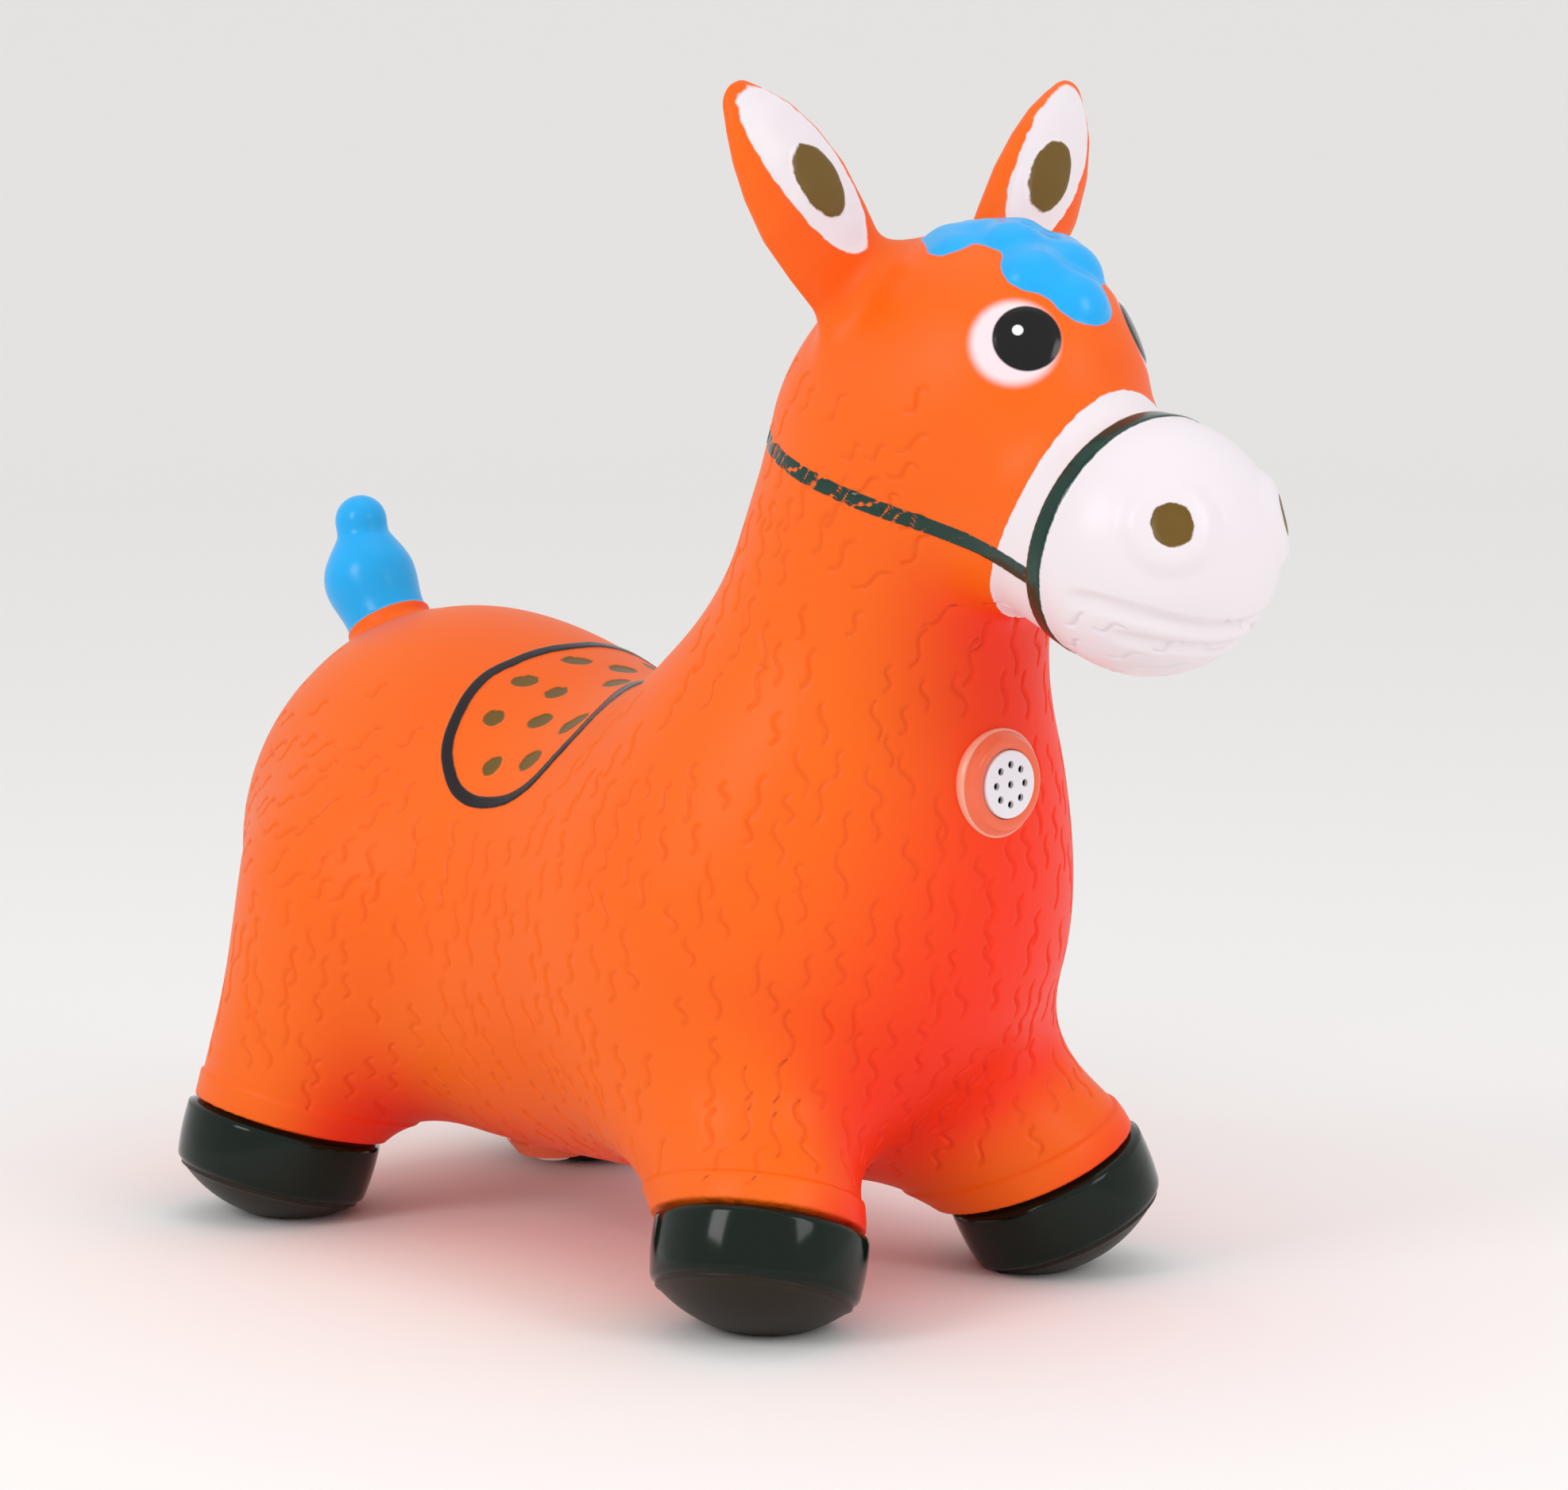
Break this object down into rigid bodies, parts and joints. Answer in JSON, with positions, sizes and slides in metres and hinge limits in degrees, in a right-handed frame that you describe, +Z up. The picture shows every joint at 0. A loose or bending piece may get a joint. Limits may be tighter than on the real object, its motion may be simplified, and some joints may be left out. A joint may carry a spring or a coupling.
{
  "type": "inflatable donkey hopper",
  "caption": "Inflatable ride-on donkey in orange soft vinyl with white muzzle, dark hooves, blue forelock and tail, a chest sound unit and a belly air valve.",
  "frame": {"origin": "centre of the footprint box, on the ground under the soles", "axes": "+X forward to the nose, +Y to the animal's left, +Z up"},
  "size_m": [0.5822, 0.2796, 0.5076],
  "materials": {
    "orange_skin": "satin soft vinyl",
    "white_skin": "sprayed white on soft vinyl",
    "blue_skin": "sprayed blue on soft vinyl",
    "hoof_lacquer": "gloss dark green lacquer",
    "clear_vinyl": "translucent soft vinyl",
    "white_plastic": "moulded ABS",
    "grey_plastic": "moulded ABS",
    "steel": "plated steel",
    "speaker_film": "polyester film",
    "board": "green solder mask",
    "chip_resin": "black epoxy"
  },
  "bodies": {
    "inflated_body": {"rump": "orange_skin", "chest": "orange_skin", "neck": "orange_skin", "head": "orange_skin", "ear_left": "orange_skin", "ear_right": "orange_skin", "leg_front_left": "orange_skin", "leg_front_right": "orange_skin", "leg_rear_left": "orange_skin", "leg_rear_right": "orange_skin", "muzzle": "white_skin", "forelock": "blue_skin", "tail": "blue_skin", "hoof_front_left": "hoof_lacquer", "hoof_front_right": "hoof_lacquer", "hoof_rear_left": "hoof_lacquer", "hoof_rear_right": "hoof_lacquer", "sound_pocket": "clear_vinyl", "valve_seat": "clear_vinyl"},
    "sound_capsule": {"grille_cover": "white_plastic", "capsule_case": "grey_plastic", "speaker_frame": "steel", "speaker_cone": "speaker_film", "speaker_magnet": "steel", "circuit_board": "board", "sound_chip": "chip_resin", "shake_switch": "steel", "contact_plate": "steel", "button_cell_1": "steel", "button_cell_2": "steel", "button_cell_3": "steel", "contact_spring": "steel", "battery_cap": "grey_plastic", "cap_screw": "steel"},
    "valve_plug": {"valve_plug": "white_plastic"}
  },
  "joints": [
    {"name": "capsule_pull", "type": "slide", "parent": "inflated_body", "child": "sound_capsule", "axis": [1, 0, 0], "range_m": [0, 0.044]},
    {"name": "plug_pull", "type": "slide", "parent": "inflated_body", "child": "valve_plug", "axis": [0, 0, -1], "range_m": [0, 0.019]}
  ]
}
